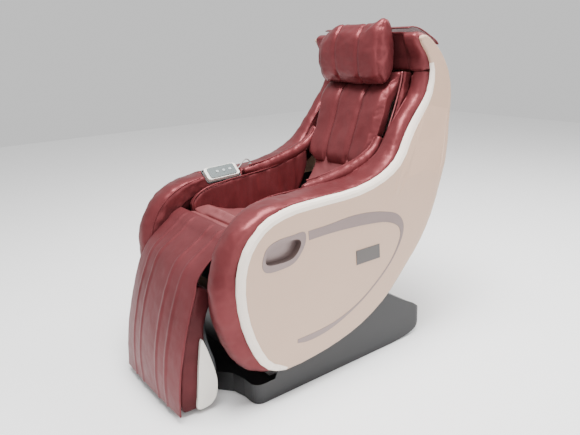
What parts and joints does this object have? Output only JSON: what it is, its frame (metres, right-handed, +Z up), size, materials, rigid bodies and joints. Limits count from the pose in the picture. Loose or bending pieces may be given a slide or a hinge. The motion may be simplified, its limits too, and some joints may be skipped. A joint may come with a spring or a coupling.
{
  "type": "massage chair",
  "caption": "Compact massage chair with teardrop side shells on a low tilting base, leather bolsters, head pillow, lifting calf rest under a hanging front flap, and a remote on the right arm.",
  "frame": {"origin": "centre of the bounding box on the floor, under the seat", "axes": "+X towards the sitter's left, -Y is the front, where the calf rest hangs, +Z up"},
  "size_m": [0.6566, 1.136, 1.1799],
  "materials": {
    "ivory_shell": "satin gloss",
    "burgundy_leather": "pearlised synthetic leather",
    "seat_leather": "pearlised synthetic leather",
    "silver_trim": "metallic satin",
    "badge": "satin",
    "base_plastic": "fine satin texture",
    "grey_plastic": "fine texture",
    "frame_steel": "satin black powder coat",
    "bright_steel": "brushed",
    "rubber": "matte",
    "drive_plastic": "matte",
    "remote_ivory": "gloss",
    "keypad": "matte",
    "button_grey": "matte",
    "cord_grey": "matte"
  },
  "bodies": {
    "base": {"base_frame": "frame_steel", "base_cover": "base_plastic", "rear_ledge": "grey_plastic", "foot_front_left": "rubber", "foot_front_right": "rubber", "foot_rear_left": "rubber", "foot_rear_right": "rubber", "power_inlet": "drive_plastic", "control_box": "drive_plastic", "air_pump": "frame_steel"},
    "body": {"seat_frame": "frame_steel", "side_shell_left": "ivory_shell", "side_shell_right": "ivory_shell", "side_trim_left": "silver_trim", "side_trim_right": "silver_trim", "scoop_left": "silver_trim", "scoop_right": "silver_trim", "badge_plate_left": "badge", "badge_plate_right": "badge", "bolster_left": "burgundy_leather", "bolster_right": "burgundy_leather", "head_cap": "burgundy_leather", "inner_wall_left": "burgundy_leather", "inner_wall_right": "burgundy_leather", "seat_pad": "seat_leather", "seat_front_roll": "burgundy_leather", "lumbar_pad": "seat_leather", "back_pad": "burgundy_leather", "back_wing_left": "burgundy_leather", "back_wing_right": "burgundy_leather", "back_cover": "ivory_shell", "back_frame": "frame_steel", "pillow_strap": "burgundy_leather", "remote_cradle": "drive_plastic", "remote_cord": "cord_grey", "cord_grommet": "cord_grey", "leg_actuator": "drive_plastic"},
    "recline_motor": {"recline_actuator": "drive_plastic"},
    "recline_rod": {"recline_rod": "bright_steel"},
    "legrest": {"legrest_frame": "frame_steel", "calf_rest": "burgundy_leather", "leg_plate_left": "ivory_shell", "leg_plate_right": "ivory_shell", "front_flap": "burgundy_leather"},
    "leg_rod": {"leg_rod": "bright_steel"},
    "carriage": {"massage_carriage": "drive_plastic", "massage_motor": "bright_steel"},
    "screw": {"lead_screw": "bright_steel"},
    "roller_left": {"kneading_roller_left": "rubber"},
    "roller_right": {"kneading_roller_right": "rubber"},
    "pillow": {"pillow": "burgundy_leather"},
    "remote": {"remote_body": "remote_ivory", "remote_face": "keypad"},
    "button_power": {"button_power": "button_grey"},
    "button_up": {"button_up": "button_grey"},
    "button_down": {"button_down": "button_grey"},
    "switch": {"power_switch": "drive_plastic"},
    "wheel_left": {"transport_wheel_left": "rubber"},
    "wheel_right": {"transport_wheel_right": "rubber"}
  },
  "joints": [
    {"name": "body_tilt", "type": "hinge", "parent": "base", "child": "body", "pos_m": [0, -0.034, 0.16], "axis": [-1, 0, 0], "range_deg": [0, 20]},
    {"name": "recline_motor_swing", "type": "hinge", "parent": "base", "child": "recline_motor", "pos_m": [0, -0.264, 0.06], "axis": [-1, 0, 0], "range_deg": [0, 6.2]},
    {"name": "recline_rod_extend", "type": "slide", "parent": "recline_motor", "child": "recline_rod", "axis": [0, 0.578, 0.816], "range_m": [0, 0.043]},
    {"name": "legrest_lift", "type": "hinge", "parent": "body", "child": "legrest", "pos_m": [0, -0.304, 0.48], "axis": [-1, 0, 0], "range_deg": [0, 70]},
    {"name": "leg_rod_extend", "type": "slide", "parent": "body", "child": "leg_rod", "axis": [0, -1, 0], "range_m": [0, 0.083]},
    {"name": "massage_travel", "type": "slide", "parent": "body", "child": "carriage", "axis": [0, 0.2986, 0.9544], "range_m": [0, 0.2]},
    {"name": "lead_screw_turn", "type": "hinge", "parent": "body", "child": "screw", "pos_m": [0, 0.38412, 0.61149], "axis": [0, 0.2986, 0.9544], "continuous": true},
    {"name": "knead_left", "type": "hinge", "parent": "carriage", "child": "roller_left", "pos_m": [0, 0.35306, 0.69979], "axis": [1, 0, 0], "continuous": true},
    {"name": "knead_right", "type": "hinge", "parent": "carriage", "child": "roller_right", "pos_m": [0, 0.35306, 0.69979], "axis": [1, 0, 0], "continuous": true},
    {"name": "pillow_flip", "type": "hinge", "parent": "body", "child": "pillow", "pos_m": [0, 0.394, 1.16], "axis": [-1, 0, 0], "range_deg": [0, 80]},
    {"name": "remote_lift", "type": "slide", "parent": "body", "child": "remote", "axis": [0.6142, -0.0698, 0.7861], "range_m": [0, 0.06]},
    {"name": "button_power_press", "type": "slide", "parent": "remote", "child": "button_power", "axis": [-0.6142, 0.0698, -0.7861], "range_m": [0, 0.001], "stiffness_N_per_m": 400},
    {"name": "button_up_press", "type": "slide", "parent": "remote", "child": "button_up", "axis": [-0.6142, 0.0698, -0.7861], "range_m": [0, 0.001], "stiffness_N_per_m": 400},
    {"name": "button_down_press", "type": "slide", "parent": "remote", "child": "button_down", "axis": [-0.6142, 0.0698, -0.7861], "range_m": [0, 0.001], "stiffness_N_per_m": 400},
    {"name": "power_rocker", "type": "hinge", "parent": "base", "child": "switch", "pos_m": [-0.095, 0.4155, 0.06], "axis": [1, 0, 0], "range_deg": [-6, 6]},
    {"name": "wheel_left_roll", "type": "hinge", "parent": "base", "child": "wheel_left", "pos_m": [0.263, 0.311, 0.027], "axis": [1, 0, 0], "continuous": true},
    {"name": "wheel_right_roll", "type": "hinge", "parent": "base", "child": "wheel_right", "pos_m": [-0.263, 0.311, 0.027], "axis": [1, 0, 0], "continuous": true}
  ],
  "couplings": [
    {"joint": "recline_motor_swing", "follows": "body_tilt", "ratio": 0.2995},
    {"joint": "recline_rod_extend", "follows": "body_tilt", "m_per_rad": 0.11878},
    {"joint": "leg_rod_extend", "follows": "legrest_lift", "m_per_rad": 0.0657},
    {"joint": "lead_screw_turn", "follows": "massage_travel", "rad_per_m": 314.16},
    {"joint": "knead_right", "follows": "knead_left", "ratio": 1}
  ]
}
